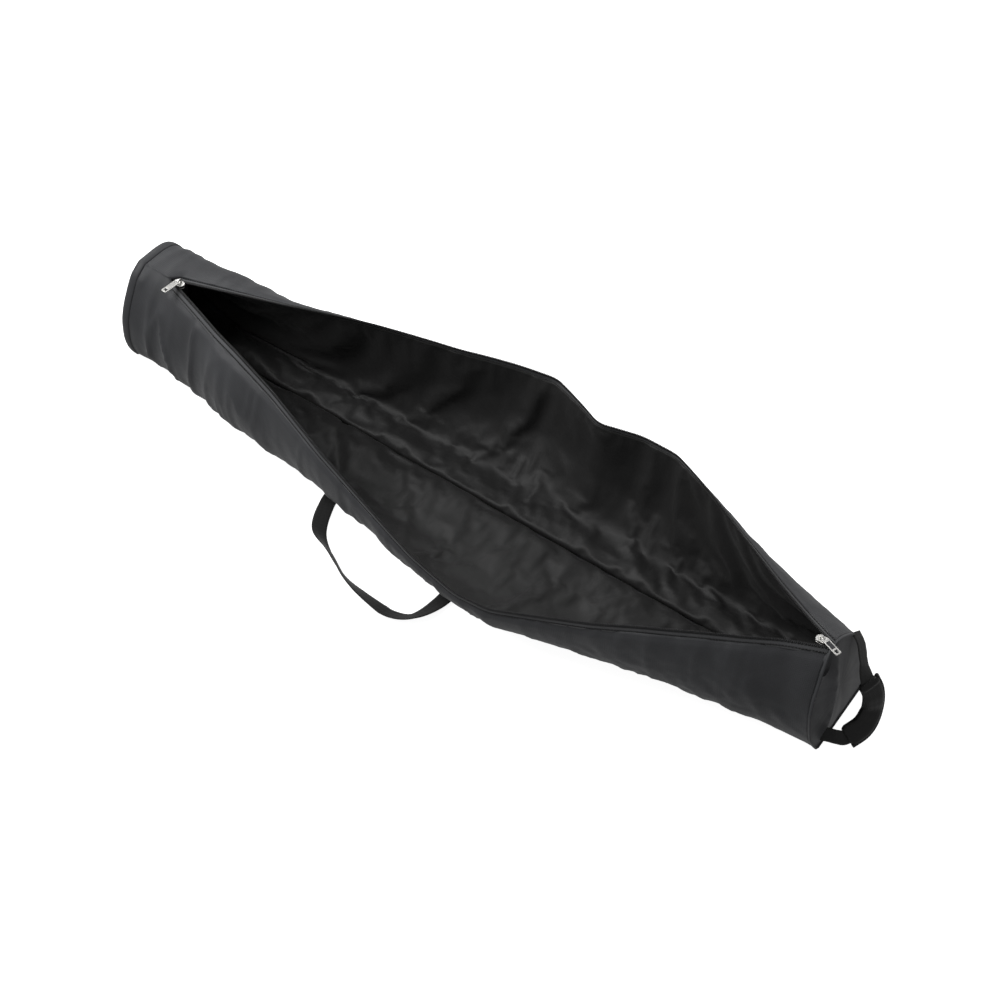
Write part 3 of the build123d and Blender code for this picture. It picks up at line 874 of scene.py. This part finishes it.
def webbing(name, points, broad, width=WEB_WIDE):
    """A woven strap through points, with its broad direction eased from one point to the next."""
    count = 30 * (len(points) - 1)
    line, _ = smooth_line(points, count)
    share = np.linspace(0, len(points) - 1, count)
    stops = np.arange(len(points))
    broad_at = np.stack([np.interp(share, stops, np.array(broad, float)[:, k]) for k in range(3)], -1)
    ways = np.gradient(line, axis=0)
    ways /= np.linalg.norm(ways, axis=1)[:, None]
    broad_at -= ways * (broad_at * ways).sum(axis=1)[:, None]
    broad_at /= np.linalg.norm(broad_at, axis=1)[:, None]
    normals = np.cross(ways, broad_at)
    across = np.linspace(-0.5, 0.5, 9)[None, :, None] * width
    sheet = line[:, None] + broad_at[:, None] * across
    sheet[..., 2] = np.maximum(sheet[..., 2], WEB_THICK / 2)
    edge = 1 - 0.5 * np.abs(np.linspace(-1, 1, 9))[None, :, None] ** 6
    half = normals[:, None] * WEB_THICK / 2 * edge
    return slab(name, sheet + half, sheet - half, WEBBING)


def side_strap():
    """The side strap lies out on the floor, part of it turned up on its edge."""
    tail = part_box("carry_strap_tail_head")
    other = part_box("carry_strap_tail_foot")
    x0 = (tail[0].x + tail[1].x) / 2
    x1 = (other[0].x + other[1].x) / 2
    # (x, y, degrees that it is turned up on its edge)
    route = [(x0, -0.082, 0), (x0 + 0.002, -0.12, 0), (-0.172, -0.178, 25), (-0.122, -0.209, 62),
             (-0.076, -0.231, 66), (-0.022, -0.240, 40), (0.018, -0.239, 20), (0.047, -0.222, 35),
             (x1, -0.178, 12), (x1, -0.12, 0), (x1, -0.082, 0)]
    points, broad = [], []
    flat = np.array([(x, y, 0) for x, y, _ in route])
    ways = np.gradient(flat, axis=0)
    for (x, y, tilt), way in zip(route, ways):
        lean = math.radians(tilt)
        side_way = np.cross(way / np.linalg.norm(way), (0, 0, 1))
        rise = WEB_WIDE / 2 * math.sin(lean) + 0.0012
        points.append((x, y, rise))
        broad.append(side_way * math.cos(lean) + np.array([0, 0, 1]) * math.sin(lean))
    strap = webbing("side_strap", points, broad)
    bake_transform(strap)
    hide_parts("carry_strap_loop", "carry_strap_tail_head", "carry_strap_tail_foot")


# The handle runs from high on the foot's end, down through the grip, to low on its front side.
# HANDLE_BROAD is the way that its breadth lies at each of those points.
HANDLE_LINE = [(0.650, 0.038, 0.137), (0.660, 0.031, 0.118), (0.681, 0.012, 0.101),
               (0.691, 0.014, 0.078), (0.694, 0.011, 0.048), (0.693, -0.008, 0.027),
               (0.683, -0.034, 0.019), (0.673, -0.042, 0.019), (0.661, -0.046, 0.019)]
HANDLE_BROAD = [(0.08, 0.86, -0.5), (0.08, 0.86, -0.5), (0.5, 1, 0), (0.5, 1, 0), (0.6, 0.9, 0),
                (0.7, 0.5, -0.2), (0.75, 0, -0.45), (0.6, -0.1, -0.6), (0.3, -0.4, -0.8)]
GRIP = slice(2, 7)           # the points that the padded grip covers
GRIP_WIDE = 0.034
GRIP_THICK = 0.017
GRIP_END = 0.006             # the length over which each of its ends closes
GRIP_CREASE = 0.42           # how deep its creases are, as a share of its thickness


def handle_webbing(name, points, broad):
    strap = webbing(name, points, broad, width=HANDLE_WEB_WIDE)
    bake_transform(strap)
    return strap


def foot_handle():
    top_root = (foot_plane_x(0.045, 0.146) - 0.002, 0.045, 0.146)
    low_root = (foot_plane_x(-0.050, 0.019) - 0.002, -0.050, 0.019)
    upper = [top_root] + HANDLE_LINE[:4]
    lower = HANDLE_LINE[-4:] + [low_root]
    broad = HANDLE_BROAD[:1] + HANDLE_BROAD[:4]
    strap = handle_webbing("handle_webbing_upper", upper, broad)
    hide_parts("foot_handle_web_upper")
    strap = handle_webbing("handle_webbing_lower", lower, HANDLE_BROAD[-4:] + HANDLE_BROAD[-1:])
    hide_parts("foot_handle_web_lower")
    grip_cover()


def grip_cover():
    """The padded grip: round-edged, pinched by creases, with a bound edge along its outer side."""
    count = 90
    line, length = smooth_line(HANDLE_LINE[GRIP], count)
    share = np.linspace(0, len(HANDLE_LINE[GRIP]) - 1, count)
    stops = np.arange(len(HANDLE_LINE[GRIP]))
    broad = np.stack([np.interp(share, stops, np.array(HANDLE_BROAD[GRIP])[:, k]) for k in range(3)], -1)
    ways = np.gradient(line, axis=0)
    ways /= np.linalg.norm(ways, axis=1)[:, None]
    broad -= ways * (broad * ways).sum(axis=1)[:, None]
    broad /= np.linalg.norm(broad, axis=1)[:, None]
    thin = np.cross(ways, broad)
    around = np.linspace(0, 2 * math.pi, 32, endpoint=False)
    sections = []
    for k in range(count):
        t = k / (count - 1)
        end = min(1.0, min(t, 1 - t) * length / GRIP_END) ** 0.5
        crease = 1 - GRIP_CREASE * max(0.0, noise.noise(Vector((t * 9, 0.5, 2.0))))
        loop = []
        for a in around:
            c, s = math.cos(a), math.sin(a)
            wide = math.copysign(abs(c) ** 0.6, c) * GRIP_WIDE / 2 * (0.75 + 0.25 * end)
            deep = math.copysign(abs(s) ** 0.75, s) * GRIP_THICK / 2 * crease * (0.3 + 0.7 * end)
            loop.append(broad[k] * wide * 0.97 + thin[k] * deep)
        sections.append(loop)
    grip = tube_through("foot_grip", line, sections, GRIP_CLOTH)
    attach(grip, "foot_handle_body")
    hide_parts("foot_grip_wrap")

    edge = line + broad * (GRIP_WIDE / 2 - 0.001)
    ring = [[thin[k] * 0.0036 * math.cos(a) + broad[k] * 0.0032 * math.sin(a)
             for a in np.linspace(0, 2 * math.pi, 10, endpoint=False)] for k in range(count)]
    bound = tube_through("foot_grip_binding", edge, ring, BINDING)
    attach(bound, "foot_handle_body")


# ---------------------------------------------------------------- camera, light and floor
def studio():
    scene = bpy.context.scene
    scene.view_settings.view_transform = "Standard"
    azimuth, elevation = math.radians(36.905), math.radians(49.014)
    back = Vector((math.sin(azimuth) * math.cos(elevation), -math.cos(azimuth) * math.cos(elevation),
                   math.sin(elevation)))
    eye = bpy.data.cameras.new("camera")
    eye.lens = 114.66
    eye.sensor_width = 36
    eye.clip_end = 50
    camera = bpy.data.objects.new("camera", eye)
    camera.location = (1.92886, -2.51883, 3.68400)
    camera.rotation_mode = "QUATERNION"
    camera.rotation_quaternion = (-back).to_track_quat("-Z", "Y")
    scene.collection.objects.link(camera)
    scene.camera = camera

    world = bpy.data.worlds.new("studio")
    world.use_nodes = True
    world.node_tree.nodes["Background"].inputs["Color"].default_value = (1, 1, 1, 1)
    world.node_tree.nodes["Background"].inputs["Strength"].default_value = 0.44
    scene.world = world

    lamps = (("key", (-1.7, -1.0, 2.4), 1.4, 76), ("side", (-2.2, 0.9, 1.6), 1.2, 22),
             ("rim", (0.0, 2.4, 1.9), 1.6, 32))
    for name, place, size, power in lamps:
        light = bpy.data.lights.new(name, "AREA")
        light.energy = power
        light.size = size
        lamp = bpy.data.objects.new(name, light)
        lamp.location = place
        lamp.rotation_mode = "QUATERNION"
        lamp.rotation_quaternion = Vector(place).to_track_quat("Z", "Y")
        scene.collection.objects.link(lamp)

    pale, _, shader = material("floor_white", (0.6, 0.6, 0.6), 0.9)
    shader.inputs["Emission Color"].default_value = (1, 1, 1, 1)
    shader.inputs["Emission Strength"].default_value = 0.9
    corners = [(-6, -6, -0.0002), (6, -6, -0.0002), (6, 6, -0.0002), (-6, 6, -0.0002)]
    floor = new_piece("floor", corners, [[0, 1, 2, 3]], [(x, y) for x, y, _ in corners], pale)
    # its glow would light the bag from below
    floor.visible_diffuse = False
    floor.visible_glossy = False


studio()
for wall in (FRONT, BACK):
    padded_wall(wall)
    side_lining(wall)
    zip_side(wall)
base_pad()
head_end()
foot_end()
for end in ("head", "foot"):
    slider(end)
side_strap()
foot_handle()
